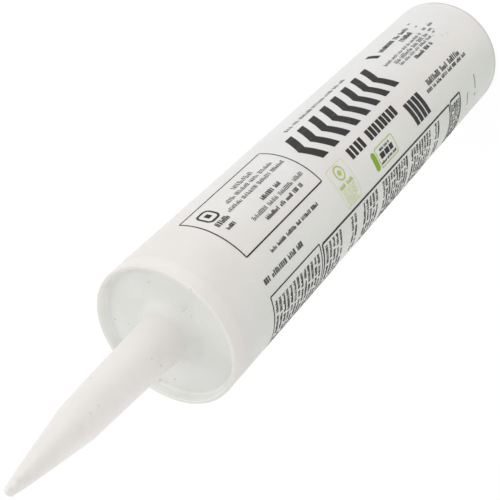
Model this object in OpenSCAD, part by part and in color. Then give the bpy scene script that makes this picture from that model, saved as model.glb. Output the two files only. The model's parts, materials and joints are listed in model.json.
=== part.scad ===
// Sealant cartridge: a moulded barrel with its closed front and tapered nozzle in one piece,
// the plunger that closes its rear end, and the charge of sealant between the two.
// It stands on its rear rim. The origin is at the centre of that rim, +Z runs to the nozzle.

/* [Barrel] */
// Outer diameter of the barrel
barrel_d = 50; // [44:0.5:60]
// Length of the barrel from its rear rim to its front rim
barrel_l = 216; // [150:1:260]
// Thickness of the barrel's wall
barrel_wall = 1.4; // [1.2:0.1:2]
// Depth of the wider lead-in inside the rear rim
lead_in_l = 5; // [3:0.5:7]
// How far the lead-in stands back from the bore, on the radius
lead_in_step = 0.3; // [0.2:0.05:0.5]
// Length of the taper from the lead-in down to the bore
lead_in_taper = 1; // [0.5:0.1:2]
// Radius of the rear rim's outer edge
rear_edge_r = 0.3; // [0.1:0.1:0.5]

/* [Front] */
// Thickness of the front wall
front_wall = 2; // [1.5:0.1:3]
// Depth of the front wall's face behind the top of the front rim
recess_depth = 3; // [2:0.1:5]
// Width of the front rim's top
rim_w = 1.1; // [0.8:0.1:1.6]
// How far the recess's side leans in from the rim down to the front wall
recess_draft = 0.5; // [0:0.1:1]
// Radius where the recess's side meets the front wall
recess_fillet = 0.9; // [0.3:0.1:1.5]
// Setback of the band around the top of the front rim, left by the mould's parting
rim_step = 0.2; // [0.1:0.05:0.4]
// Height of that band
rim_step_h = 1.2; // [0.8:0.1:2]
// Radius of the front rim's two top edges
rim_edge_r = 0.3; // [0.1:0.05:0.35]
// Radius inside the barrel where the bore meets the front wall
bore_fillet = 1; // [0.5:0.1:2]

/* [Nozzle] */
// Height of the nozzle from the front wall's face to its tip
nozzle_l = 73.4; // [55:0.2:95]
// Diameter at the nozzle's root, before its fillet
nozzle_root_d = 16.6; // [14:0.2:20]
// Diameter at the shoulder, where the gentle taper turns into the cone
nozzle_shoulder_d = 12.7; // [10.5:0.1:13.5]
// Height of the shoulder above the front wall's face
nozzle_shoulder_h = 44.6; // [30:0.2:48]
// Radius that softens the shoulder
nozzle_shoulder_r = 16; // [5:1:20]
// Thickness of the nozzle's wall
nozzle_wall = 1.2; // [0.9:0.1:1.4]
// Diameter at the closed tip, before it is rounded
nozzle_tip_d = 3.1; // [2.8:0.1:4.4]
// Radius of the tip's rounding
nozzle_tip_r = 1.6; // [0.8:0.1:1.6]
// Solid length that closes the tip, to be cut off in use
nozzle_tip_l = 4; // [3:0.2:6]
// Fillet between the nozzle and the front wall's face
nozzle_fillet = 4.5; // [2:0.1:5]
// Radius at the mouth of the nozzle's passage, inside the barrel
nozzle_mouth_r = 1.4; // [0.5:0.1:1.8]

/* [Plunger] */
// Distance of the plunger's rear edge past the lead-in's taper
plunger_set = 0.5; // [0:0.5:10]
// Length of the plunger
plunger_l = 20; // [16:0.5:30]
// Clearance between the plunger's lips and the bore, on the radius
lip_gap = 0.05; // [0.02:0.01:0.09]
// Width of each lip where it wipes the bore
lip_w = 1.4; // [1:0.1:2]
// How far the lips stand out from the skirt
lip_h = 0.9; // [0.5:0.1:1.2]
// Thickness of the plunger's skirt
skirt_wall = 1.1; // [0.8:0.1:1.5]
// Radius inside the cup where the skirt meets the crown
cup_fillet = 1; // [0.3:0.1:2]
// Thickness of the plunger's crown
crown_wall = 1.5; // [1:0.1:2.5]
// Depth of the crown's face behind the edge of the front lip
crown_dish = 0.8; // [0.3:0.1:1.5]
// Width of the flat edge around the crown's dish
crown_edge_w = 1.6; // [1:0.1:2]
// Number of ribs behind the crown
rib_count = 8; // [6:1:12]
// Thickness of a rib
rib_w = 1; // [0.8:0.1:1.4]
// Height of the ribs behind the crown
rib_h = 5.5; // [3:0.5:8]
// Outer diameter of the ring that joins the ribs
hub_d = 13; // [10:0.5:16]
// Thickness of that ring
hub_wall = 1.2; // [1:0.1:2]

/* [Sealant] */
// Clearance between the sealant and the plunger
sealant_gap = 0.3; // [0.2:0.05:0.5]

/* [Hidden] */
$fn = 96;
// How far the chords of a rounded corner may lie inside its arc
arc_tolerance = 0.015;
// Overlap that joins the ribs to the cup
lap = 0.5;

// Radii and heights of the barrel and its front
barrel_r = barrel_d / 2;
bore_r = barrel_r - barrel_wall;
lead_in_r = bore_r + lead_in_step;
bore_z = lead_in_l + lead_in_taper;
face_z = barrel_l - recess_depth;
inner_face_z = face_z - front_wall;
rim_outer_r = barrel_r - rim_step;
rim_step_z = barrel_l - rim_step_h;
recess_top_r = rim_outer_r - rim_w;
recess_floor_r = recess_top_r - recess_draft;

// Radii, heights and slopes of the nozzle
root_r = nozzle_root_d / 2;
shoulder_r = nozzle_shoulder_d / 2;
shoulder_z = face_z + nozzle_shoulder_h;
tip_r = nozzle_tip_d / 2;
tip_z = face_z + nozzle_l;
taper_a = atan((root_r - shoulder_r) / nozzle_shoulder_h);
cone_a = atan((shoulder_r - tip_r) / (tip_z - shoulder_z));

// The nozzle's passage keeps the wall's thickness, measured square to the taper and to the cone
passage_root_r = root_r + front_wall * tan(taper_a) - nozzle_wall / cos(taper_a);
mean_a = (taper_a + cone_a) / 2;
passage_shoulder = [shoulder_r, shoulder_z]
    - nozzle_wall / cos(cone_a - mean_a) * [cos(mean_a), sin(mean_a)];
passage_end_z = tip_z - nozzle_tip_l;
passage_end_r = tip_r + nozzle_tip_l * tan(cone_a) - nozzle_wall / cos(cone_a);

// Radii and heights of the plunger
plunger_z = bore_z + plunger_set;
plunger_front_z = plunger_z + plunger_l;
lip_r = bore_r - lip_gap;
skirt_r = lip_r - lip_h;
cup_r = skirt_r - skirt_wall;
crown_z = plunger_front_z - crown_dish;
crown_back_z = crown_z - crown_wall;
dish_r = lip_r - crown_edge_w;
hub_r = hub_d / 2;
rib_z = crown_back_z - rib_h;

sealant_z = plunger_front_z + sealant_gap;

function unit(v) = v / norm(v);

// Points of the arc of radius r that rounds the corner at b, between its neighbours a and c
function corner_arc(a, b, c, r) =
    let (
        to_a = unit(a - b),
        to_c = unit(c - b),
        half = acos(to_a * to_c) / 2,
        centre = b + unit(to_a + to_c) * r / sin(half),
        first = b + to_a * r / tan(half) - centre,
        start = atan2(first[1], first[0]),
        turn = (180 - 2 * half) * sign(cross(b - a, c - b)),
        steps = ceil(abs(turn) / (2 * acos(1 - arc_tolerance / r)))
    )
    [for (i = [0 : steps]) centre + r * [cos(start + turn * i / steps), sin(start + turn * i / steps)]];

// Outline through a list of corners, each given as [x, y] or, where it is rounded, [x, y, radius]
function rounded(corners) =
    let (
        count = len(corners),
        spots = [for (corner = corners) [corner[0], corner[1]]]
    )
    [
        for (i = [0 : count - 1])
            each len(corners[i]) < 3
                ? [spots[i]]
                : corner_arc(
                    spots[(i + count - 1) % count], spots[i], spots[(i + 1) % count], corners[i][2]
                )
    ];

// Solid of revolution about Z from the corners of its half section
module turned(corners) {
    rotate_extrude() polygon(rounded(corners));
}

// Barrel, front wall and nozzle in one moulding, from the rear rim up the outside and back inside
module cartridge() {
    color("white")
        turned([
            [lead_in_r, 0],
            [barrel_r, 0, rear_edge_r],
            [barrel_r, rim_step_z],
            [rim_outer_r, rim_step_z],
            [rim_outer_r, barrel_l, rim_edge_r],
            [recess_top_r, barrel_l, rim_edge_r],
            [recess_floor_r, face_z, recess_fillet],
            [root_r, face_z, nozzle_fillet],
            [shoulder_r, shoulder_z, nozzle_shoulder_r],
            [tip_r, tip_z, nozzle_tip_r],
            [0, tip_z],
            [0, passage_end_z],
            [passage_end_r, passage_end_z],
            [passage_shoulder[0], passage_shoulder[1], nozzle_shoulder_r],
            [passage_root_r, inner_face_z, nozzle_mouth_r],
            [bore_r, inner_face_z, bore_fillet],
            [bore_r, bore_z],
            [lead_in_r, lead_in_l]
        ]);
}

// One rib of the crown, from the hub ring to the skirt
module rib() {
    translate([hub_r - lap, -rib_w / 2, rib_z])
        cube([cup_r + lap - hub_r + lap, rib_w, rib_h + lap]);
}

// Ring that joins the ribs behind the middle of the crown
module hub_ring() {
    translate([0, 0, rib_z])
        difference() {
            cylinder(r = hub_r, h = rib_h + lap);
            translate([0, 0, -lap]) cylinder(r = hub_r - hub_wall, h = rib_h + lap);
        }
}

// Moulded cup with a lip at each end, which closes the rear and pushes the sealant
module plunger() {
    color("gainsboro") {
        turned([
            [cup_r + lip_h, plunger_z],
            [lip_r, plunger_z],
            [lip_r, plunger_z + lip_w],
            [skirt_r, plunger_z + lip_w + lip_h],
            [skirt_r, plunger_front_z - lip_w - lip_h],
            [lip_r, plunger_front_z - lip_w],
            [lip_r, plunger_front_z],
            [dish_r, plunger_front_z],
            [dish_r - crown_dish, crown_z],
            [0, crown_z],
            [0, crown_back_z],
            [cup_r, crown_back_z, cup_fillet],
            [cup_r, plunger_z + lip_w + lip_h],
            [cup_r + lip_h, plunger_z + lip_w]
        ]);
        for (i = [0 : rib_count - 1]) rotate(i * 360 / rib_count) rib();
        hub_ring();
    }
}

// Charge of sealant, from the plunger to the front wall
module sealant() {
    color("lightgray")
        turned([
            [0, sealant_z],
            [bore_r, sealant_z],
            [bore_r, inner_face_z, bore_fillet],
            [0, inner_face_z]
        ]);
}

cartridge();
plunger();
sealant();
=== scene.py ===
import json
import math
import random

import bmesh
import bpy
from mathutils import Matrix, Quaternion, Vector


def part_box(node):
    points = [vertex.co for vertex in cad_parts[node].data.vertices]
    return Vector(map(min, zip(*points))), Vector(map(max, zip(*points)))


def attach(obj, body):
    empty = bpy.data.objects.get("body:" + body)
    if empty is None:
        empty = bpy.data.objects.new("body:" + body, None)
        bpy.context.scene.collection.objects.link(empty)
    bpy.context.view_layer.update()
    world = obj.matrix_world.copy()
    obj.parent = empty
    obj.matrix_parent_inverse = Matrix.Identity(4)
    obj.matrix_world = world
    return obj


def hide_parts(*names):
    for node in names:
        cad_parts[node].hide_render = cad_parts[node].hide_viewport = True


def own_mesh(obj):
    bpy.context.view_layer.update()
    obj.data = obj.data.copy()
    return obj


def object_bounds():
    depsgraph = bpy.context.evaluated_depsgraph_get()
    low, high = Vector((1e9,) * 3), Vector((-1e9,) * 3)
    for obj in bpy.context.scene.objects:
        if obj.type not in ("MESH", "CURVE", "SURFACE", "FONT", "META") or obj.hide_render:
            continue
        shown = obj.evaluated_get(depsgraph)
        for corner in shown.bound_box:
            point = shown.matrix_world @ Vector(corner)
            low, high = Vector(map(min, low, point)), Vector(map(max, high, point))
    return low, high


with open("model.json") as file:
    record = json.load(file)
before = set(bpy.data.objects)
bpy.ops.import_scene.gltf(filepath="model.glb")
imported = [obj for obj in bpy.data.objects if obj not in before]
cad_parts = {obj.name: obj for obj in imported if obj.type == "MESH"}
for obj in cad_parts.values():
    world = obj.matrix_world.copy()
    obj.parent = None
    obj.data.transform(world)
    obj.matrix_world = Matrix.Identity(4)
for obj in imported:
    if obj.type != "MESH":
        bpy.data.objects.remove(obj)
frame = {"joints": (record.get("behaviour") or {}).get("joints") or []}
cadLow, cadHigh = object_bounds()

# Lengths in this script are in millimetres, times mm wherever Blender is handed one
mm = 0.001
mergeReach = 0.001  # points closer than this are made one

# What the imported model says: heights and radii of the pieces, measured from the rear rim's centre
barrelRadius = cadHigh.x / mm
tipHeight = cadHigh.z / mm
sealantRear, sealantFront = (corner.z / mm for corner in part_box("sealant"))
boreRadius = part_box("sealant")[1].x / mm
plungerRear, plungerFront = (corner.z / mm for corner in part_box("plunger"))
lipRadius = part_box("plunger")[1].x / mm
slide = frame["joints"][0]

# The ink stands this far proud of the barrel, whose wall is drawn that much slimmer to leave it room
inkProud = 0.03
inkSunk = 0.02
printRadius = min(-cadLow.x, cadHigh.x, -cadLow.y, cadHigh.y) / mm - inkProud


class Wire:
    # one socket of a node tree: sums on wires add Math nodes, and node() adds any other node
    def __init__(self, tree, socket=None):
        self.tree = tree
        self.socket = socket

    def __getitem__(self, name):
        return Wire(self.tree, openSocket(self.socket.node.outputs, name))

    def node(self, kind, sockets=None, **settings):
        made = self.tree.nodes.new(kind)
        for name, value in settings.items():
            setattr(made, name, value)
        for name, value in (sockets or {}).items():
            target = openSocket(made.inputs, name)
            for single in value if isinstance(value, list) else [value]:
                if isinstance(single, Wire):
                    self.tree.links.new(single.socket, target)
                else:
                    target.default_value = single
        shown = [socket for socket in made.outputs if socket.enabled]
        return Wire(self.tree, shown[0] if shown else None)

    def through(self, kind, **sockets):
        # the geometry on this wire, after one more node
        return self.node("GeometryNode" + kind, {"Geometry": self, **sockets})

    def math(self, operation, *values):
        return self.node("ShaderNodeMath", dict(enumerate((self,) + values)), operation=operation)

    def __add__(self, other):
        return self.math("ADD", other)

    __radd__ = __add__

    def __sub__(self, other):
        return self.math("SUBTRACT", other)

    def __rsub__(self, other):
        return self.node("ShaderNodeMath", {0: other, 1: self}, operation="SUBTRACT")

    def __mul__(self, other):
        return self.math("MULTIPLY", other)

    __rmul__ = __mul__

    def __truediv__(self, other):
        return self.math("DIVIDE", other)

    def ease(self, low, high):
        # 0 at low and 1 at high, with soft ends, and low may be the larger one
        return self.node("ShaderNodeMapRange", {"Value": self, "From Min": low, "From Max": high},
                         interpolation_type="SMOOTHSTEP")

    def split(self):
        return self.node("ShaderNodeSeparateXYZ", {"Vector": self})

    def vector(self, x=0, y=0, z=0):
        return self.node("ShaderNodeCombineXYZ", {"X": x, "Y": y, "Z": z})


def openSocket(sockets, name):
    # a node keeps a hidden socket for every data type, so only those in use count
    if isinstance(name, int):
        return sockets[name]
    return next(socket for socket in sockets if socket.enabled and socket.name == name)


def join(shapes):
    return shapes[0].node("GeometryNodeJoinGeometry", {"Geometry": list(shapes)})


# Materials

def paint(red, green, blue):
    # a colour as it looks on a screen, from 0 to 255, in the linear values that shaders take
    def linear(level):
        return level / 12.92 if level < 0.04045 else ((level + 0.055) / 1.055) ** 2.4
    return tuple(linear(level / 255) for level in (red, green, blue)) + (1,)


def newMaterial(name, constants):
    material = bpy.data.materials.new(name)
    material.use_nodes = True
    tree = material.node_tree
    shader = next(node for node in tree.nodes if node.type == "BSDF_PRINCIPLED")
    for socket, value in constants.items():
        shader.inputs[socket].default_value = value
    place = Wire(tree).node("ShaderNodeTexCoord")["Object"]
    return material, shader, place


def feed(shader, colour, rough, relief, depth):
    # what changes over a piece: its colour, its roughness and its fine relief
    raised = relief.node("ShaderNodeBump", {"Height": relief, "Distance": depth * mm, "Strength": 1})
    for name, wire in (("Base Color", colour), ("Roughness", rough), ("Normal", raised)):
        wire.tree.links.new(wire.socket, shader.inputs[name])


def noise(place, grain, detail=2, roughness=0.5, stretch=(1, 1, 1)):
    # grain is the size of the noise's features in millimetres
    scaled = place.node("ShaderNodeMapping", {"Vector": place, "Scale": stretch})
    return place.node("ShaderNodeTexNoise", {
        "Vector": scaled, "Scale": 1 / (grain * mm), "Detail": detail, "Roughness": roughness,
    })


def patches(place, grain, detail, roughness, low, high, stretch=(1, 1, 1)):
    # 0 where a noise is under the low level, and 1 where it is over the high one
    return noise(place, grain, detail, roughness, stretch).ease(low, high)


def ragged(place, grain, reach):
    # the place moved a little here and there, so that what is round comes out uneven
    shift = noise(place, grain, 2, 0.6)["Color"]
    centred = place.node("ShaderNodeVectorMath", {0: shift, 1: (0.5, 0.5, 0.5)}, operation="SUBTRACT")
    amount = 2 * reach * mm
    return place.node("ShaderNodeVectorMath", {0: centred, 1: (amount, amount, amount), 2: place},
                      operation="MULTIPLY_ADD")


def distance(place, spot):
    return place.node("ShaderNodeVectorMath", {0: place, 1: spot}, operation="DISTANCE")["Value"]


def blend(mask, below, above):
    return mask.node("ShaderNodeMix", {"Factor": mask, "A": below, "B": above}, data_type="RGBA")


def roundPlace(radius, angle, height):
    # a point at an angle round the axis, from the front of the print towards +X
    turn = math.radians(angle)
    return Vector((math.sin(turn) * radius, -math.cos(turn) * radius, height)) * mm


cartridgeLook = {
    "clearWhite": paint(230, 226, 222),
    "filledWhite": paint(226, 222, 218),
    # a cool white: partly the plastic's own tone, partly painted light on the barrel's lit +X side
    "coolWhite": paint(224, 226, 227),
    "faceWhite": paint(230, 231, 228),
    # painted shade for the barrel's shaded -X side, darker still near its rear
    "shadeWhite": paint(224, 225, 220),
    "rearShade": paint(215, 217, 211),
    # a paler white painted on the recess's side, as painted light for what comes through its thin wall
    "thinWhite": paint(241, 242, 239),
    "grime": paint(112, 98, 78),
    "paleDirt": paint(190, 184, 168),
    "rubbed": paint(184, 183, 179),
    "smudge": paint(150, 146, 106),
    # the last number is how far light carries inside the plastic
    "body": {"IOR": 1.5, "Subsurface Weight": 0.3, "Subsurface Radius": (1, 0.92, 0.85),
             "Subsurface Scale": 1.5 * mm},
    "cornerRadius": 22.9,  # where the recess's side meets the front wall
    # each tone is the product of its fades: a measure of the place, where the fade is 0 and where it is 1
    "zones": {
        "filled": [("height", sealantFront + 0.8, sealantFront - 1.2),
                   ("height", plungerFront - 6, plungerFront + 4)],
        "coolAndLitSide": [("height", 205, 150), ("side", -2, 12)],
        "grey": [("side", 2, -16), ("height", 212, 200)],
        "rear": [("height", 125, 45)],
        "face": [("height", 218, 213.6), ("outward", 24, 23.4)],
        "thin": [("outward", 22.1, 22.9), ("outward", 24, 23.7), ("height", 211.5, 212.5)],
        "rubbed": [("height", 1.9, 0.7)],
        "darkerRimTop": [("height", 214.6, 215.4), ("outward", 23.4, 24), ("side", 4, 18)],
        "corner": [("offCorner", 1.1, 0.1)],
        "dusty": [("height", 212, 213)],
    },
    # how strong each tone is, from 0 to 1
    "coolness": 0.45,
    "coolAnywhere": 0.2,  # share of the coolness that all of the plastic has
    "clouds": 0.07,
    "faceClouds": 0.08,
    "rubbing": 0.6,
    "dulling": 0.16,
    "cornerDirt": 0.04,
    "scuffing": 0.42,
    "dust": 0.2,
    # grain, detail and roughness of the noise behind each kind of patch, and its low and high levels
    "cloudPatches": (14, 3, 0.5, 0.3, 0.7),
    "cornerPatches": (3, 2, 0.5, 0.2, 0.8),
    "scuffPatches": (1, 3, 0.7, 0.5, 0.66),
    "dustPatches": (0.8, 2, 0.6, 0.68, 0.78),
    "scuffAt": (12.8, 3, 213.4),  # radius, angle and height
    "scuffReach": 4.4,
    "scuffStretch": (1, 2.2, 1),
    "raggedGrain": 0.6,
    "raggedReach": 0.35,
    "shine": 0.36,  # roughness where nothing dulls the plastic
    "dullGrain": 6,
    "dullness": 0.1,  # what patches and scuffs add to it
    "dullScuffs": 0.12,
    "grain": 0.5,
    "grainDepth": 0.012,
    # radius, angle, height, reach and strength of each speck of dirt
    "specks": [
        (20.8, 134.8, 213, 0.5, 0.5), (15.6, 137.5, 213, 0.5, 0.25), (17.5, 56, 213, 0.75, 0.2),
        (22.5, -157.6, 213, 1.1, 0.2), (18.9, -142.3, 213, 0.5, 0.35), (14.3, 28, 213, 0.5, 0.15),
        (14.6, -18, 213, 0.45, 0.15), (24.5, 9.5, 215.9, 0.45, 0.35), (7.7, -16.3, 229.9, 0.45, 0.45),
        (7.8, -44.7, 228.1, 0.5, 0.45), (7.8, -6.3, 228.5, 0.4, 0.2), (7.9, -12.2, 223.8, 0.45, 0.15),
        (6.5, -6.8, 252.9, 0.65, 0.18), (6.5, -6.7, 256.3, 0.7, 0.18), (6.95, 66, 245.9, 0.8, 0.3),
        (6.8, 78, 249.3, 0.5, 0.25), (25, 32.5, 23.2, 1, 0.35), (25, 24, 25.4, 1.2, 0.3),
        (25, 19.5, 30.4, 1.3, 0.2), (25, 13.5, 26.5, 1.1, 0.2), (25, 11, 23.2, 1.5, 0.12),
        (25, -47, 31.5, 1, 0.25), (25, -56, 21.8, 0.8, 0.25),
    ],
    # radius, angle, height, reach and strength of each olive smudge
    "smudges": [
        (5.7, -24, 261.5, 2.6, 0.05), (2.15, 12, 282.4, 1.6, 0.12), (2.5, -16, 280.5, 1.8, 0.06),
        (1.3, 12, 285.5, 0.9, 0.2), (7.7, -18, 227, 3.6, 0.05),
    ],
}


def cartridgePlastic():
    look = cartridgeLook
    material, shader, place = newMaterial("cartridgePlastic", look["body"])
    spot = place.split()
    outward = (spot["X"] * spot["X"] + spot["Y"] * spot["Y"]).math("SQRT")
    measures = {
        "height": spot["Z"], "side": spot["X"], "outward": outward,
        "offCorner": (outward - look["cornerRadius"] * mm).math("ABSOLUTE"),
    }

    def zone(name):
        first, *others = [measures[measure].ease(low * mm, high * mm)
                          for measure, low, high in look["zones"][name]]
        return math.prod(others, start=first)

    # the sealant shows through the wall as a greyer tone, from the plunger to just short of the front rim
    filled = zone("filled")
    colour = blend(filled, look["clearWhite"], look["filledWhite"])
    # the barrel is a little cool all over, and cooler on its lit +X side towards its rear: there the cool
    # tone is painted light
    coolAndLitSide = zone("coolAndLitSide") + look["coolAnywhere"]
    colour = blend(coolAndLitSide * look["coolness"], colour, look["coolWhite"])
    # painted shade: the barrel is greyer on its shaded -X side, most of all near its rear end
    colour = blend(zone("grey"), colour, blend(zone("rear"), look["shadeWhite"], look["rearShade"]))
    # the front wall has a tone of its own, and the recess's side is painted paler: painted light for what
    # comes through its thin wall
    face = zone("face") * (1 - filled)
    colour = blend(face, colour, look["faceWhite"])
    colour = blend(zone("thin"), colour, look["thinWhite"])
    cloudy = patches(place, *look["cloudPatches"])
    colour = blend(cloudy * (look["clouds"] + look["faceClouds"] * face), colour, look["paleDirt"])

    # the rear edge is rubbed, the front rim's top is painted a little darker at +X, and dirt and painted
    # shade gather in the recess's corner
    colour = blend(zone("rubbed") * look["rubbing"], colour, look["rubbed"])
    # the front rim's top at +X is painted a little darker
    colour = blend(zone("darkerRimTop") * look["dulling"], colour, look["paleDirt"])
    # dirt and painted shade in the recess's corner
    corner = zone("corner") * face * patches(place, *look["cornerPatches"])
    colour = blend(corner * look["cornerDirt"], colour, look["paleDirt"])
    # scuffs lie beside the nozzle's root, dust on the front wall and the nozzle, and specks all over
    streaks = patches(place, *look["scuffPatches"], look["scuffStretch"])
    scuffs = distance(place, roundPlace(*look["scuffAt"])).ease(look["scuffReach"] * mm, 0) * streaks
    colour = blend(scuffs * look["scuffing"], colour, look["grime"])
    dust = patches(place, *look["dustPatches"]) * zone("dusty")
    colour = blend(dust * look["dust"], colour, look["paleDirt"])
    uneven = ragged(place, look["raggedGrain"], look["raggedReach"])
    for dirt, marks in (("grime", look["specks"]), ("smudge", look["smudges"])):
        for radius, angle, at, reach, strength in marks:
            centre = roundPlace(radius, angle, at) + leanAt(at)
            near = distance(uneven, centre).ease(reach * mm, 0.1 * reach * mm)
            colour = blend(near * strength, colour, look[dirt])

    dull = look["dullness"] * noise(place, look["dullGrain"], 3)
    rough = look["shine"] + dull + look["dullScuffs"] * scuffs
    feed(shader, colour, rough, noise(place, look["grain"], 3, 0.6), look["grainDepth"])
    return material


plungerLook = {
    "paleWhite": paint(222, 221, 217),
    "greyWhite": paint(210, 209, 204),
    "body": {"IOR": 1.5, "Subsurface Weight": 0.2, "Subsurface Radius": (1, 0.9, 0.8),
             "Subsurface Scale": 1 * mm},
    "cloudGrain": 9,
    "shine": 0.34,
    "dullClouds": 0.14,
    "grain": 0.5,
    "grainDepth": 0.015,
}


def plungerPlastic():
    look = plungerLook
    material, shader, place = newMaterial("plungerPlastic", look["body"])
    cloudy = noise(place, look["cloudGrain"], 3)
    colour = blend(cloudy, look["paleWhite"], look["greyWhite"])
    rough = look["shine"] + look["dullClouds"] * cloudy
    feed(shader, colour, rough, noise(place, look["grain"], 3), look["grainDepth"])
    return material


pasteLook = {
    "paleGrey": paint(176, 177, 174),
    "darkGrey": paint(158, 159, 156),
    "body": {"IOR": 1.45, "Subsurface Weight": 0.1, "Subsurface Scale": 1 * mm},
    "lumpGrain": 5,
    "lumpDepth": 0.3,
    "shine": 0.3,
    "dullLumps": 0.25,
}


def sealantPaste():
    look = pasteLook
    material, shader, place = newMaterial("sealantPaste", look["body"])
    lumps = noise(place, look["lumpGrain"], 4)
    colour = blend(lumps, look["paleGrey"], look["darkGrey"])
    feed(shader, colour, look["shine"] + look["dullLumps"] * lumps, lumps, look["lumpDepth"])
    return material


inkLook = {
    "body": {"IOR": 1.45, "Specular IOR Level": 0.3},
    "thinPatches": (1.6, 4, 0.65, 0.5, 0.85),  # the same numbers as for the patches above
    "thinness": 0.35,  # how far the plastic shows through where the film is thin
    "pinholePatches": (0.35, 2, 0.7, 0.7, 0.78),
    "pinholes": 0.5,  # and where it has pinholes
    "shine": 0.45,
    "dullGrain": 2,
    "dullness": 0.2,
    "filmDepth": 0.01,
}


def ink(name, slotName, full, worn):
    # printed ink and its slot: a thin matt film, with pinholes and thin places that show the plastic
    look = inkLook
    material, shader, place = newMaterial(name, look["body"])
    thin = patches(place, *look["thinPatches"])
    pinholes = patches(place, *look["pinholePatches"])
    colour = blend(thin * look["thinness"] + pinholes * look["pinholes"], full, worn)
    rough = look["shine"] + look["dullness"] * noise(place, look["dullGrain"], 2)
    feed(shader, colour, rough, thin, look["filmDepth"])
    return material, slotName


# Shapes

def roundCorners(corners, closed=False, step=7.5):
    # corners are (x, y), or (x, y, radius) where they are rounded, with one chord for each step of degrees
    points = []
    for number, corner in enumerate(corners):
        spot = Vector(corner[:2])
        if len(corner) < 3 or not (closed or 0 < number < len(corners) - 1):
            points.append(spot)
            continue
        toBefore = (Vector(corners[number - 1][:2]) - spot).normalized()
        toAfter = (Vector(corners[(number + 1) % len(corners)][:2]) - spot).normalized()
        half = toBefore.angle(toAfter) / 2
        centre = spot + (toBefore + toAfter).normalized() * corner[2] / math.sin(half)
        first = spot + toBefore * corner[2] / math.tan(half) - centre
        start = math.atan2(first.y, first.x)
        turn = math.copysign(math.pi - 2 * half, toAfter.x * toBefore.y - toAfter.y * toBefore.x)
        chords = max(2, math.ceil(math.degrees(abs(turn)) / step))
        for chord in range(chords + 1):
            angle = start + turn * chord / chords
            points.append(centre + corner[2] * Vector((math.cos(angle), math.sin(angle))))
    return points


def splitLong(points, longest):
    # adds points so that no stretch between two of them is longer than that
    finer = [points[0]]
    for before, after in zip(points, points[1:]):
        pieces = math.ceil((after - before).length / longest)
        finer += [before.lerp(after, piece / pieces) for piece in range(1, pieces + 1)]
    return finer


def newPiece(name, points, edges=(), faces=()):
    mesh = bpy.data.meshes.new(name)
    mesh.from_pydata([Vector(point) * mm for point in points], list(edges), list(faces))
    piece = bpy.data.objects.new(name, mesh)
    bpy.context.scene.collection.objects.link(piece)
    return piece


def newTree(name, inputs):
    # a Geometry Nodes tree that takes a mesh and the named inputs
    tree = bpy.data.node_groups.new(name, "GeometryNodeTree")
    tree.interface.new_socket("Geometry", in_out="INPUT", socket_type="NodeSocketGeometry")
    for label, kind in inputs.items():
        tree.interface.new_socket(label, in_out="INPUT", socket_type="NodeSocket" + kind)
    tree.interface.new_socket("Material", in_out="INPUT", socket_type="NodeSocketMaterial")
    tree.interface.new_socket("Geometry", in_out="OUTPUT", socket_type="NodeSocketGeometry")
    return Wire(tree).node("NodeGroupInput")


def closeTree(given, shape):
    painted = shape.through("RealizeInstances").through("SetMaterial", Material=given["Material"])
    shape.node("NodeGroupOutput", {"Geometry": painted})
    return given.tree


def addTree(piece, tree, values):
    modifier = piece.modifiers.new(tree.name, "NODES")
    modifier.node_group = tree
    for item in tree.interface.items_tree:
        if item.in_out == "INPUT" and item.name in values:
            modifier[item.identifier] = values[item.name]


def makePlain(piece, sharpAngle=30):
    # the modifiers' result becomes the mesh, with its faces outwards and its edges marked
    result = bpy.data.meshes.new_from_object(piece.evaluated_get(bpy.context.evaluated_depsgraph_get()))
    piece.modifiers.clear()
    piece.data = result
    work = bmesh.new()
    work.from_mesh(result)
    bmesh.ops.dissolve_degenerate(work, dist=mergeReach / 10 * mm, edges=work.edges)
    bmesh.ops.recalc_face_normals(work, faces=work.faces)
    work.to_mesh(result)
    work.free()
    result.shade_smooth()
    result.set_sharp_from_angle(angle=math.radians(sharpAngle))
    print(piece.name, len(result.vertices), "points,", len(result.polygons), "faces")
    return piece


def turningTree():
    # turns a half section, a row of points in the XZ plane, round the Z axis
    given = newTree("turnedSection", {"Segments": "Int"})
    rows = given.node("GeometryNodeAttributeDomainSize", {"Geometry": given}, component="MESH")
    grid = given.node("GeometryNodeMeshGrid", {"Vertices X": given["Segments"] + 1, "Vertices Y": rows})
    index = given.node("GeometryNodeInputIndex")
    row = index.math("MODULO", rows)
    angle = (index - row) / rows / given["Segments"] * math.tau
    position = given.node("GeometryNodeInputPosition")
    section = given.node("GeometryNodeSampleIndex", {"Geometry": given, "Value": position, "Index": row},
                         data_type="FLOAT_VECTOR").split()
    turned = given.vector(section["X"] * angle.math("COSINE"), section["X"] * angle.math("SINE"),
                          section["Z"])
    shape = grid.through("SetPosition", Position=turned)
    return closeTree(given, shape.through("MergeByDistance", Distance=mergeReach * mm))


def turnedPiece(name, section, material, segments=240):
    # a solid of revolution from its half section, whose two ends lie on the axis
    piece = newPiece(name, [(point.x, 0, point.y) for point in section])
    addTree(piece, turning, {"Segments": segments, "Material": material})
    return makePlain(piece)


turning = turningTree()

print("materials and trees ready")


# The moulding: barrel, front wall and nozzle

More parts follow.
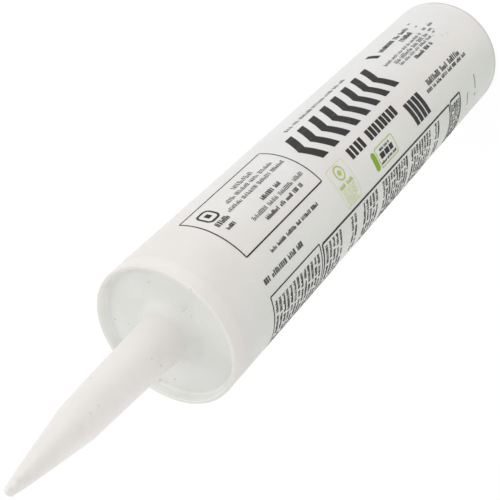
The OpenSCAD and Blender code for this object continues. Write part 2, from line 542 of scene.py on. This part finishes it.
mouldingSizes = {
    "leadInDepth": 5,
    "leadInTaper": 1,
    "leadInStep": 0.3,
    "rearEdge": 0.3,
    "frontWall": 2,
    "recessDepth": 3,
    "recessDraft": 0.5,
    "recessFillet": 0.9,
    "rimWidth": 1.1,
    "rimStep": 0.2,
    "rimStepHeight": 1.2,
    "rimStepSlope": 0.25,  # height over which that step eases in
    "rimEdge": 0.3,
    "boreFillet": 1,
    "nozzleRoot": 8.3,
    "nozzleShoulder": 6.35,
    "shoulderHeight": 44.6,
    "shoulderRound": 16,
    "nozzleTip": 1.55,
    "tipSolid": 4,
    "tipTaper": 6.4,  # length over which the cone narrows faster, down to slimTip
    "tipTaperRound": 20,
    "slimTip": 1.3,
    "tipRound": 1.35,
    "longest": 1.2,  # longest stretch between two rings of points on the front and the nozzle
    "nozzleWall": 1.2,
    "nozzleFillet": 4.5,
    "nozzleMouth": 1.4,
    "lean": (0.4, 0.3),  # how far the nozzle stands off the axis, all of it within leanHeight of the face
    "leanHeight": 26,
    # angle, height, reach and depth of each dent in the nozzle
    "dents": [(72, 246, 2.6, 0.3), (84, 250, 1.6, 0.2), (82, 260.6, 2.4, 0.18), (-20, 258, 2, 0.1)],
}


def mouldingSection():
    # from the passage's end through the inside and up the barrel, then over the front to the nozzle's tip
    sizes = mouldingSizes
    faceHeight = sealantFront + sizes["frontWall"]
    frontHeight = faceHeight + sizes["recessDepth"]
    rimRadius = barrelRadius - sizes["rimStep"]
    recessRadius = rimRadius - sizes["rimWidth"]
    shoulder = Vector((sizes["nozzleShoulder"], faceHeight + sizes["shoulderHeight"]))
    taper = math.atan((sizes["nozzleRoot"] - shoulder.x) / sizes["shoulderHeight"])
    cone = math.atan((shoulder.x - sizes["nozzleTip"]) / (tipHeight - shoulder.y))
    slimmer = sizes["nozzleTip"] + sizes["tipTaper"] * math.tan(cone)
    middle = (taper + cone) / 2
    wall = sizes["nozzleWall"]
    inset = wall / math.cos(cone - middle) * Vector((math.cos(middle), math.sin(middle)))
    passageRoot = sizes["nozzleRoot"] + sizes["frontWall"] * math.tan(taper) - wall / math.cos(taper)
    passageEnd = sizes["nozzleTip"] + sizes["tipSolid"] * math.tan(cone) - wall / math.cos(cone)
    leadIn = boreRadius + sizes["leadInStep"]

    barrel = roundCorners([
        (0, tipHeight - sizes["tipSolid"]),
        (passageEnd, tipHeight - sizes["tipSolid"]),
        (*(shoulder - inset), sizes["shoulderRound"]),
        (passageRoot, sealantFront, sizes["nozzleMouth"]),
        (boreRadius, sealantFront, sizes["boreFillet"]),
        (boreRadius, sizes["leadInDepth"] + sizes["leadInTaper"]),
        (leadIn, sizes["leadInDepth"]),
        (leadIn, 0),
        (printRadius, 0, sizes["rearEdge"]),
        (printRadius, frontHeight - sizes["rimStepHeight"]),
    ])
    front = roundCorners([
        (rimRadius, frontHeight - sizes["rimStepHeight"] + sizes["rimStepSlope"]),
        (rimRadius, frontHeight, sizes["rimEdge"]),
        (recessRadius, frontHeight, sizes["rimEdge"]),
        (recessRadius - sizes["recessDraft"], faceHeight, sizes["recessFillet"]),
        (sizes["nozzleRoot"], faceHeight, sizes["nozzleFillet"]),
        (*shoulder, sizes["shoulderRound"]),
        (slimmer, tipHeight - sizes["tipTaper"], sizes["tipTaperRound"]),
        (sizes["slimTip"], tipHeight, sizes["tipRound"]),
        (0, tipHeight),
    ])
    return barrel + splitLong(front, sizes["longest"])


def leanAt(height):
    # how far the nozzle stands off the axis at a height
    foot = sealantFront + mouldingSizes["frontWall"]
    share = min(max((height - foot) / mouldingSizes["leanHeight"], 0), 1)
    return Vector((*mouldingSizes["lean"], 0)) * mm * share ** 2 * (3 - 2 * share)


def leanNozzle(piece):
    for point in piece.data.vertices:
        point.co += leanAt(point.co.z / mm)


def pressDents(piece, dents):
    # knocks that the nozzle has taken: points near each spot move in towards the axis
    for point in piece.data.vertices:
        for angle, height, reach, depth in dents:
            outward = Vector((point.co.x, point.co.y))
            spot = roundPlace(outward.length / mm, angle, height)
            share = 1 - ((point.co - spot).length / (reach * mm)) ** 2
            if share > 0 and outward.length > 0:
                inward = outward.normalized() * depth * mm * share ** 2
                point.co -= Vector((inward.x, inward.y, 0))


plastic = cartridgePlastic()
moulding = turnedPiece("cartridge_moulding", mouldingSection(), plastic)
leanNozzle(moulding)
pressDents(moulding, mouldingSizes["dents"])
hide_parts("cartridge")
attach(moulding, "cartridge")


# The plunger: a cup with a lip at each end, ribs behind its crown and a ring that joins them

plungerSizes = {
    "lipWidth": 1.4,
    "lipProud": 0.9,
    "skirtWall": 1.1,
    "cupFillet": 1,
    "crownWall": 1.5,
    "crownDish": 0.8,
    "crownEdge": 1.6,
    "ribs": 8,
    "ribWidth": 1,
    "ribHeight": 5.5,
    "hubRadius": 6.5,
    "hubWall": 1.2,
    "hubSides": 96,
    "lap": 0.5,  # how far the ribs and the ring reach into the cup
    "edgeRound": 0.25,
}


def plungerSection():
    sizes = plungerSizes
    lip = sizes["lipWidth"]
    slope = lip + sizes["lipProud"]
    skirt = lipRadius - sizes["lipProud"]
    cup = skirt - sizes["skirtWall"]
    dish = lipRadius - sizes["crownEdge"]
    crown = plungerFront - sizes["crownDish"]
    edge = sizes["edgeRound"]
    return roundCorners([
        (0, crown),
        (dish - sizes["crownDish"], crown, edge),
        (dish, plungerFront, edge),
        (lipRadius, plungerFront, edge),
        (lipRadius, plungerFront - lip, edge),
        (skirt, plungerFront - slope, edge),
        (skirt, plungerRear + slope, edge),
        (lipRadius, plungerRear + lip, edge),
        (lipRadius, plungerRear, edge),
        (cup + sizes["lipProud"], plungerRear, edge),
        (cup + sizes["lipProud"], plungerRear + lip, edge),
        (cup, plungerRear + slope, edge),
        (cup, crown - sizes["crownWall"], sizes["cupFillet"]),
        (0, crown - sizes["crownWall"]),
    ], step=15)


def ribbingTree():
    # joins a wheel of ribs and their hub ring to the cup
    given = newTree("ribWheel", {
        "Ribs": "Int", "Rib Width": "Float", "Rib Height": "Float", "Hub Radius": "Float",
        "Hub Wall": "Float", "Reach": "Float", "Crown Height": "Float",
    })
    lap = plungerSizes["lap"] * mm
    tall = given["Rib Height"] + lap
    middle = given["Crown Height"] + (lap - given["Rib Height"]) * 0.5
    length = given["Reach"] - given["Hub Radius"] + 2 * lap
    rib = given.node("GeometryNodeMeshCube", {"Size": given.vector(length, given["Rib Width"], tall)})
    wheel = given.node("GeometryNodeMeshCircle", {
        "Vertices": given["Ribs"], "Radius": (given["Reach"] + given["Hub Radius"]) * 0.5,
    })
    turn = given.node("GeometryNodeInputIndex") / given["Ribs"] * math.tau
    spokes = given.node("GeometryNodeInstanceOnPoints",
                        {"Points": wheel, "Instance": rib, "Rotation": given.vector(z=turn)})

    def cylinder(radius, depth):
        return given.node("GeometryNodeMeshCylinder",
                          {"Vertices": plungerSizes["hubSides"], "Radius": radius, "Depth": depth})

    # the ring's hole is longer than the ring: it is open behind, and ends inside the crown
    hub = cylinder(given["Hub Radius"], tall)
    hole = cylinder(given["Hub Radius"] - given["Hub Wall"], tall * 1.1)
    sunk = hole.through("Transform", Translation=(0, 0, lap * -1.1))
    ring = given.node("GeometryNodeMeshBoolean", {"Mesh 1": hub, "Mesh 2": sunk},
                      operation="DIFFERENCE", solver="MANIFOLD")
    height = given.vector(z=middle)
    raised = [shape.through("Transform", Translation=height)
              for shape in (spokes.through("RealizeInstances"), ring)]
    whole = given.node("GeometryNodeMeshBoolean", {"Mesh": [given, *raised]},
                       operation="UNION", solver="MANIFOLD")
    return closeTree(given, whole)


plungerPaint = plungerPlastic()
plunger = turnedPiece("plunger_cup", plungerSection(), plungerPaint, segments=192)
addTree(plunger, ribbingTree(), {
    "Ribs": plungerSizes["ribs"],
    "Rib Width": plungerSizes["ribWidth"] * mm,
    "Rib Height": plungerSizes["ribHeight"] * mm,
    "Hub Radius": plungerSizes["hubRadius"] * mm,
    "Hub Wall": plungerSizes["hubWall"] * mm,
    "Reach": (lipRadius - plungerSizes["lipProud"] - plungerSizes["skirtWall"]) * mm,
    "Crown Height": (plungerFront - plungerSizes["crownDish"] - plungerSizes["crownWall"]) * mm,
    "Material": plungerPaint,
})
makePlain(plunger)
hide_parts("plunger")
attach(plunger, "plunger")


# The sealant: it fills the barrel, and is pressed out as the plunger travels

charge = turnedPiece("sealant_charge", roundCorners([
    (0, sealantRear),
    (boreRadius, sealantRear),
    (boreRadius, sealantFront, mouldingSizes["boreFillet"]),
    (0, sealantFront),
]), sealantPaste(), segments=192)
leftOver = sealantFront - plungerFront - slide["range_m"][1] / mm  # room at the slide's end
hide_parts("sealant")
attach(charge, "cartridge")
slide["name"]
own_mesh(charge)
print("moulding, plunger and sealant made")


# The print. It is laid out flat, facing -Y: X runs round the barrel and Z along it, and the trees wrap it.
# Words are rows of plain marks, and the larger print is plain bars and blocks.

def newPrintTree(name, inputs):
    return newTree(name, {"Barrel Radius": "Float", "Ink": "Float", "Sunk": "Float", **inputs})


def closePrintTree(given, flat, depth):
    # sets the flat print this deep, bends it round the barrel and ends the tree
    sunk = flat.through("SetPosition", Offset=given.vector(y=depth))
    spot = given.node("GeometryNodeInputPosition").split()
    angle = spot["X"] / given["Barrel Radius"]
    outward = given["Barrel Radius"] - spot["Y"]
    wrapped = given.vector(angle.math("SINE") * outward, angle.math("COSINE") * outward * -1, spot["Z"])
    return closeTree(given, sunk.through("SetPosition", Position=wrapped))


wordSizes = {
    "pitch": 0.64,  # for each millimetre of a mark's height
    "narrow": 0.8,  # widths of the marks, for each millimetre of pitch
    "wide": 0.92,
    "lightStroke": 0.3,  # widths of a mark's strokes, as shares of its width
    "boldStroke": 0.43,
    "single": 1.4,  # widths of a lone stroke and of a level one, for each width of a stroke
    "level": 0.7,
    "short": 0.64,  # height of a short stroke, as a share of a tall one's
    "fewest": 3,  # marks in the shortest word and in the longest
    "most": 9,
}


def wordTree():
    # sets small marks along strokes, as tall, as close together and as bold as each stroke says
    given = newPrintTree("printedWords", {"Seed": "Int"})
    line = given.node("GeometryNodeMeshToCurve", {"Mesh": given})
    tall, pitch, bold = [given.node("GeometryNodeInputNamedAttribute", {"Name": name})
                         for name in ("height", "pitch", "bold")]
    # a hair less than the pitch, so that rounding never loses a word's last mark
    points = given.node("GeometryNodeCurveToPoints", {"Curve": line, "Length": pitch * 0.998}, mode="LENGTH")
    along = given.node("FunctionNodeAlignRotationToVector", {"Vector": points["Tangent"]}, axis="X")

    def block(width, height, x=0, z=0):
        cube = given.node("GeometryNodeMeshCube", {"Size": (width, 1, height)})
        return cube.through("Transform", Translation=(x, 0, z))

    def asInstance(*blocks):
        return join(blocks).through("GeometryToInstance")

    def markKinds(stroke):
        # two tall strokes, one stroke, a tall and a short one, three levels, and two short strokes
        side = (1 - stroke) / 2
        level = stroke * wordSizes["level"]
        short = wordSizes["short"]
        sunk = (short - 1) / 2
        return [
            asInstance(block(stroke, 1, -side), block(stroke, 1, side)),
            asInstance(block(wordSizes["single"] * stroke, 1)),
            asInstance(block(stroke, 1, -side), block(stroke, short, side, sunk)),
            asInstance(*[block(1, level, 0, (1 - level) / 2 * row) for row in (-1, 0, 1)]),
            asInstance(block(stroke, short, -side, sunk), block(stroke, short, side, sunk)),
        ]

    wide = given.node("FunctionNodeRandomValue", {
        "Min": wordSizes["narrow"], "Max": wordSizes["wide"], "Seed": given["Seed"] + 1,
    }, data_type="FLOAT")
    scale = given.vector(wide * pitch, given["Ink"], tall)
    weights = []
    for stroke, chosen in ((wordSizes["lightStroke"], 1 - bold), (wordSizes["boldStroke"], bold)):
        kinds = markKinds(stroke)
        choice = join(kinds)
        kind = given.node("FunctionNodeRandomValue",
                          {"Min": 0, "Max": len(kinds) - 1, "Seed": given["Seed"]}, data_type="INT")
        weights.append(given.node("GeometryNodeInstanceOnPoints", {
            "Points": points, "Selection": chosen, "Instance": choice, "Pick Instance": True,
            "Instance Index": kind, "Rotation": along, "Scale": scale,
        }))
    marks = join(weights).through("RealizeInstances")
    return closePrintTree(given, marks, given["Sunk"] - given["Ink"] * 0.5)


def lineTree():
    # draws lines and frames as strips of ink
    given = newPrintTree("printedLines", {"Line": "Float"})
    line = given.node("GeometryNodeMeshToCurve", {"Mesh": given})
    level = given.node("GeometryNodeSetCurveNormal", {"Curve": line, "Normal": (0, -1, 0)}, mode="FREE")
    strip = given.node("GeometryNodeCurvePrimitiveQuadrilateral",
                       {"Width": given["Ink"], "Height": given["Line"]})
    drawn = given.node("GeometryNodeCurveToMesh",
                       {"Curve": level, "Profile Curve": strip, "Fill Caps": True})
    return closePrintTree(given, drawn, given["Sunk"] - given["Ink"] * 0.5)


def fieldTree():
    # gives flat fields of ink their thickness
    given = newPrintTree("printedFields", {})
    raised = given.node("GeometryNodeExtrudeMesh", {
        "Mesh": given, "Offset": (0, -1, 0), "Offset Scale": given["Ink"], "Individual": False,
    }, mode="FACES")
    back = given.node("GeometryNodeFlipFaces", {"Mesh": given})
    closed = join([raised, back]).through("MergeByDistance", Distance=mergeReach * mm)
    return closePrintTree(given, closed, given["Sunk"])


fieldStep = 1.2  # a field of ink has two rows of points in each stretch this long round the barrel
lineStep = 1  # and a line has a point in each stretch this long


def printPiece(name, flat, tree, paintwork, values=None):
    material, slotName = paintwork
    addTree(flat, tree, {
        "Barrel Radius": printRadius * mm, "Ink": (inkProud + inkSunk) * mm, "Sunk": inkSunk * mm,
        "Material": material, **(values or {}),
    })
    flat.name = name
    makePlain(flat, sharpAngle=40)
    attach(flat, "cartridge")


def printWords(name, rows, paintwork, seed):
    # each row is its two ends as (around, along), how tall its marks are, and "bold" where they are
    chance = random.Random(seed)
    points, edges = [], []
    values = {"height": [], "pitch": [], "bold": []}
    for start, end, height, *weight in rows:
        start, end = Vector(start), Vector(end)
        room = round((end - start).length / (height * wordSizes["pitch"]))
        step = (end - start) / room
        used = 0
        while used < room:
            left = room - used
            word = chance.randint(wordSizes["fewest"], wordSizes["most"])
            if left - word < wordSizes["fewest"]:
                word = left
            for place in (used + 0.5, used + word - 0.5):
                spot = start + step * place
                points.append((spot.x, 0, spot.y))
                values["height"].append(height * mm)
                values["pitch"].append(step.length * mm)
                values["bold"].append(len(weight))
            edges.append((len(points) - 2, len(points) - 1))
            used += word + 1
    flat = newPiece(name, points, edges)
    for label, numbers in values.items():
        flat.data.attributes.new(label, "FLOAT", "POINT").data.foreach_set("value", numbers)
    printPiece(name, flat, words, paintwork, {"Seed": seed})


def printLines(name, outlines, line, paintwork):
    # each outline is (corners, closed)
    points, edges = [], []
    for corners, closed in outlines:
        route = roundCorners(corners, closed, step=22.5)
        route = splitLong(route + route[:1] if closed else route, lineStep)
        if closed:
            route.pop()
        first = len(points)
        points += [(spot.x, 0, spot.y) for spot in route]
        edges += [(first + step, first + step + 1) for step in range(len(route) - 1)]
        if closed:
            edges.append((len(points) - 1, first))
    printPiece(name, newPiece(name, points, edges), lines, paintwork, {"Line": line * mm})


def printFields(name, shapes, paintwork):
    # each field is (low, high, ends): it spans low to high round the barrel, and ends(round) along it
    points, faces = [], []
    for low, high, ends in shapes:
        rows = 2 * math.ceil((high - low) / fieldStep)
        first = len(points)
        for row in range(rows + 1):
            around = low + (high - low) * row / rows
            points += [(around, 0, end) for end in ends(around)]
        faces += [(first + 2 * row, first + 2 * row + 2, first + 2 * row + 3, first + 2 * row + 1)
                  for row in range(rows)]
    printPiece(name, newPiece(name, points, (), faces), fields, paintwork)


def box(low, high, rear, front, corner=0.4):
    return [(low, rear, corner), (low, front, corner), (high, front, corner), (high, rear, corner)], True


def bar(low, high, rear, front):
    return low, high, lambda around: (rear, front)


def halfChord(radius, off):
    # half of a circle's width this far off its middle, and never quite nothing
    return math.sqrt(max(radius ** 2 - off ** 2, 1e-4))


def capsule(low, high, rear, front):
    # a field whose two ends round the barrel are half circles
    radius = (front - rear) / 2

    def ends(around):
        past = max(low + radius - around, around - high + radius, 0)
        half = halfChord(radius, past)
        return (rear + front) / 2 - half, (rear + front) / 2 + half
    return low, high, ends


def disc(around, along, radius):
    def ends(at):
        half = halfChord(radius, at - around)
        return along - half, along + half
    return around - radius, around + radius, ends


def slanted(low, high, rear, front, lean):
    return low, high, lambda around: (rear + lean * (around - low), front + lean * (around - low))


def chevron(low, high, rear, front, point):
    def ends(around):
        ahead = point * (1 - abs(2 * around - low - high) / (high - low))
        return rear + ahead, front + ahead
    return low, high, ends


words = wordTree()
lines = lineTree()
fields = fieldTree()
charcoal = ink("inkCharcoal", "ink_charcoal", paint(44, 42, 43), paint(120, 117, 114))
# a greener copy of the charcoal for the print on the barrel's shaded -X side: painted shade
shadedSideCharcoal = ink("inkShadedSideCharcoal", "ink_charcoal", paint(40, 46, 44), paint(116, 120, 114))
wornCharcoal = ink("inkWornCharcoal", "ink_charcoal", paint(136, 135, 132), paint(196, 194, 190))
green = ink("inkGreen", "ink_green", paint(128, 166, 40), paint(186, 206, 130))
limeGreen = ink("inkLimeGreen", "ink_green", paint(172, 190, 96), paint(200, 208, 150))
paleGreen = ink("inkPaleGreen", "ink_green", paint(212, 218, 172), paint(222, 224, 192))


# Main print on the front, from the nozzle end to the rear

titleSizes = {
    "front": 138.6,
    "rear": 71.8,
    "low": 4.3,
    "high": 19.3,
    "chevrons": 8,
    "width": 4.3,
    "point": 4.2,  # how far a chevron's middle stands before its ends
}
bylineSizes = {
    "front": 124,
    "rear": 86,
    "low": -3.4,
    "high": 0.8,
    "blocks": 13,
    "space": 4,  # the block left out, which parts the first word from the second
    "firstShare": 0.73,  # share of the pitch that a block takes in each word
    "secondShare": 0.78,
    "narrower": 0.1,  # how much less every third block takes
}


def titleFields():
    # a row of chevrons that point to the nozzle
    sizes = titleSizes
    room = sizes["front"] - sizes["rear"] - sizes["point"] - sizes["width"]
    for number in range(sizes["chevrons"]):
        front = sizes["front"] - sizes["point"] - room * number / (sizes["chevrons"] - 1)
        yield chevron(sizes["low"], sizes["high"], front - sizes["width"], front, sizes["point"])


def bylineFields():
    # two words of plain blocks, every third of them narrower
    sizes = bylineSizes
    pitch = (sizes["front"] - sizes["rear"]) / sizes["blocks"]
    for number in range(sizes["blocks"]):
        if number != sizes["space"]:
            front = sizes["front"] - number * pitch
            share = sizes["firstShare"] if number < sizes["space"] else sizes["secondShare"]
            width = pitch * (share - sizes["narrower"] if number % 3 == 1 else share)
            yield bar(sizes["low"], sizes["high"], front - width, front)


def lengthwise(around, front, rear, height, *weight):
    # a row of marks along the barrel
    return (around, front), (around, rear), height, *weight


frontRows = [
    # inside the framed notice
    (19.6, 168.5, 157, 1.9), (16.7, 177, 149, 1.5), (13.8, 180.5, 146, 1.5), (8.9, 168.5, 157, 1.6, "bold"),
    (6, 178.5, 147, 1.5), (3.2, 174.5, 151.5, 1.5, "bold"), (12.8, 189, 182.4, 2, "bold"),
    (9.6, 188, 183.5, 1.4, "bold"),
    # below the notice, and above the title
    (-4.8, 183, 152.5, 1.3, "bold"), (-10.3, 192.8, 169, 1.8, "bold"), (23.2, 127.5, 82, 1.5),
    # the block of rows near the rear
    (20.4, 55.7, 30.2, 2.1, "bold"), (17, 43.7, 34, 2.2, "bold"), (13.4, 66.4, 32.6, 1.3),
    (11.2, 61.8, 31.2, 1.7), (9.2, 61, 31.6, 1.3), (6.9, 51.8, 35.6, 1.6, "bold"),
    (-3.3, 59.8, 27.8, 2.4, "bold"), (-5.8, 62.9, 24.3, 1.4, "bold"),
    # in the green box
    (-7.8, 109, 101, 0.9, "bold"), (-12.1, 111, 99, 0.9, "bold"),
]

sidePanels = {
    "near": -15.6,
    "far": -62,
    "margin": 2.2,
    "shortest": 0.72,  # length of the shortest row, as a share of the room, and of a heading's rows
    "heading": 0.35,
    # rear and front of each block of rows along the barrel, their number and how tall they are
    "blocks": [
        (163.5, 191, 13, 1.35), (147.6, 157.6, 5, 1.4), (136.3, 138.8, 2, 1.4), (119.5, 129.5, 5, 1.5),
        (93.5, 113.5, 10, 1.5), (72, 88.6, 8, 1.5), (63.4, 66, 2, 1.5), (42.2, 48.6, 4, 1.6),
    ],
}


def sideRows():
    # a block of only two rows is a heading
    panels = sidePanels
    chance = random.Random(11)
    for rear, front, count, tall in panels["blocks"]:
        for row in range(count):
            along = rear + (front - rear) * row / (count - 1)
            near = panels["near"] - panels["margin"]
            reach = chance.uniform(panels["shortest"], 1) if count > 2 else panels["heading"]
            far = near + (panels["far"] - panels["near"] + 2 * panels["margin"]) * reach
            yield (near, along), (far, along), tall, "bold"


printFields("print_title", titleFields(), charcoal)
printFields("print_byline", bylineFields(), charcoal)
printWords("print_words", [lengthwise(*row) for row in frontRows], charcoal, 5)
printWords("print_side_words", sideRows(), shadedSideCharcoal, 8)
printLines("print_frames", [
    box(-0.8, 24.2, 143.8, 192.4),
    box(sidePanels["far"], -15.3, 161.3, 192.9),
], 0.5, charcoal)
printLines("print_heavy_frames", [
    box(sidePanels["far"], -16.4, 51.8, 159.8, 0.7),
    box(sidePanels["far"], -16, 40.6, 50.4, 0.7),
], 0.8, charcoal)

# what is left of the rows where the barrel's rear end has rubbed
printFields("print_worn_marks", [
    bar(13, 14.2, 26.9, 29.4), bar(12.7, 13.9, 20.9, 24.6), bar(11, 12, 25.6, 28.6), bar(9.2, 10, 26.6, 28.4),
    bar(16.9, 17.6, 26.8, 28.4), bar(20.9, 21.8, 24.8, 26.6), bar(-21.3, -15.2, 24.1, 24.9),
    bar(-25.2, -19.8, 32.6, 33.3), bar(-24.6, -23.4, 23.8, 24.8),
], wornCharcoal)

# plain marks where a label carries its signs: slanted bars in a block, a rounded square and small blocks
printFields("print_marks", [
    *[slanted(-12.4, -2.6, rear, rear + 2.6, 0.2) for rear in (66.8, 70.2, 73.6, 77)],
    slanted(18.6, 23.6, 58.6, 61.4, 0.2),
    bar(16.9, 18.9, 184.7, 186.7),
    bar(-10.9, -8.8, 106.8, 110),
    bar(-10.9, -8.8, 103.2, 106.2),
    bar(-10.9, -8.8, 100, 102.6),
], charcoal)
printLines("print_round_square", [box(15.1, 20.7, 182.9, 188.5, 1.6)], 0.8, charcoal)
printLines("print_green_box", [box(-13.5, -6.3, 97.8, 111.6, 0.8)], 0.4, limeGreen)
printFields("print_green_fields", [capsule(-13.6, -6.3, 112.5, 115.4)], green)
printLines("print_pale_box", [box(-14.6, 0.3, 128.6, 140.1, 1.5)], 0.3, paleGreen)
printLines("print_green_ring", [box(-5.6, -0.6, 131.8, 136.8, 2.45)], 0.6, limeGreen)
printFields("print_green_dot", [disc(-3.1, 134.3, 1.1)], limeGreen)
printWords("print_lime_words", [lengthwise(-7.3, 139, 130, 1.4, "bold")], limeGreen, 4)
printWords("print_pale_words", [
    *[lengthwise(around, 138.6, rear, 0.8, "bold")
      for around, rear in ((-8.9, 130.2), (-9.9, 131), (-10.9, 130.2), (-11.9, 130.6), (-12.9, 132))],
    lengthwise(-13.8, 138, 131, 0.7, "bold"),
], paleGreen, 3)
print("print made")


# The stage: floor, world, lamps and camera

stageSizes = {
    "floor": 3000,
    "floorSides": 96,
    "floorLap": 0.1,  # how far the floor reaches in under the barrel
    "floorGlow": 0.9,
    "glowStrength": 1.02,
    "floorColour": 0.92,
    "ambient": 0.86,
}
lampSizes = {
    # where each lamp stands, what it faces, how wide it is and how strong
    "key": {"at": (604, -506, 299), "lookAt": (0, 0, 160), "size": 500, "watts": 1.13},
    "side": {"at": (506, 89, 773), "lookAt": (0, 0, 160), "size": 500, "watts": 0.86},
    # light thrown back at the nozzle, in a cone this many degrees wide
    "nozzle": {"at": (-414, 73, 262), "lookAt": (0, 0, 260), "size": 60, "watts": 1.35, "cone": 11},
}
cameraView = {"at": (0, -257.753, 415.329), "lookAt": (0.049, 0, 165.034), "roll": 135.33, "lens": 78.17}


def emptied(owner):
    # clears the nodes of a material or a world, and gives the wire that new ones start from
    owner.use_nodes = True
    owner.node_tree.nodes.clear()
    return Wire(owner.node_tree)


def whiteToCamera(start):
    # 1 for rays that see the stage itself or its reflection, 0 for those that it lights
    rays = start.node("ShaderNodeLightPath")
    seen = rays["Is Camera Ray"].math("MAXIMUM", rays["Is Glossy Ray"])
    return seen.math("MAXIMUM", rays["Is Transmission Ray"])


def makeFloor():
    # a wide disc, open under the barrel and clear from below, so that the plunger shows from there
    points = []
    sides = stageSizes["floorSides"]
    for radius in (barrelRadius - stageSizes["floorLap"], stageSizes["floor"] / 2):
        for step in range(sides):
            turn = math.tau * step / sides
            points.append((radius * math.cos(turn), radius * math.sin(turn), 0))
    floor = newPiece("floor", points, (), [
        (step, sides + step, sides + (step + 1) % sides, (step + 1) % sides) for step in range(sides)
    ])
    material = bpy.data.materials.new("whiteFloor")
    start = emptied(material)
    pale = stageSizes["floorColour"]
    matt = start.node("ShaderNodeBsdfDiffuse", {"Color": (pale, pale, pale, 1)})
    glow = start.node("ShaderNodeEmission", {"Color": (1, 1, 1, 1), "Strength": stageSizes["glowStrength"]})
    mixed = start.node("ShaderNodeMixShader",
                       {0: whiteToCamera(start) * stageSizes["floorGlow"], 1: matt, 2: glow})
    clear = start.node("ShaderNodeBsdfTransparent")
    fromBelow = start.node("ShaderNodeNewGeometry")["Backfacing"]
    either = start.node("ShaderNodeMixShader", {0: fromBelow, 1: mixed, 2: clear})
    start.node("ShaderNodeOutputMaterial", {"Surface": either})
    floor.data.materials.append(material)


def makeWorld():
    world = bpy.data.worlds.new("whiteRoom")
    start = emptied(world)
    ambient = stageSizes["ambient"]
    strength = ambient + (1 - ambient) * whiteToCamera(start)
    sky = start.node("ShaderNodeBackground", {"Color": (1, 1, 1, 1), "Strength": strength})
    start.node("ShaderNodeOutputWorld", {"Surface": sky})
    bpy.context.scene.world = world


def makeLamp(name, lamp):
    # a square soft box or, where a cone is given, a spot lamp with a soft edge
    if "cone" in lamp:
        light = bpy.data.lights.new(name, "SPOT")
        light.spot_size = math.radians(lamp["cone"])
        light.spot_blend = 0.6
        light.shadow_soft_size = lamp["size"] / 2 * mm
    else:
        light = bpy.data.lights.new(name, "AREA")
        light.size = lamp["size"] * mm
    light.energy = lamp["watts"]
    holder = bpy.data.objects.new(name, light)
    holder.location = Vector(lamp["at"]) * mm
    aim = Vector(lamp["lookAt"]) * mm - holder.location
    holder.rotation_euler = aim.to_track_quat("-Z", "Y").to_euler()
    bpy.context.scene.collection.objects.link(holder)


def makeCamera():
    view = bpy.data.cameras.new("camera")
    view.sensor_width = 36
    view.lens = cameraView["lens"]
    view.clip_start = 0.01
    camera = bpy.data.objects.new("camera", view)
    camera.location = Vector(cameraView["at"]) * mm
    ahead = Vector(cameraView["lookAt"]) * mm - camera.location
    camera.rotation_mode = "QUATERNION"
    roll = Quaternion((0, 0, 1), -math.radians(cameraView["roll"]))
    camera.rotation_quaternion = ahead.to_track_quat("-Z", "Y") @ roll
    bpy.context.scene.collection.objects.link(camera)
    bpy.context.scene.camera = camera


makeFloor()
makeWorld()
for name, lamp in lampSizes.items():
    makeLamp(name, lamp)
makeCamera()
bpy.context.scene.view_settings.view_transform = "Standard"
print("stage ready")
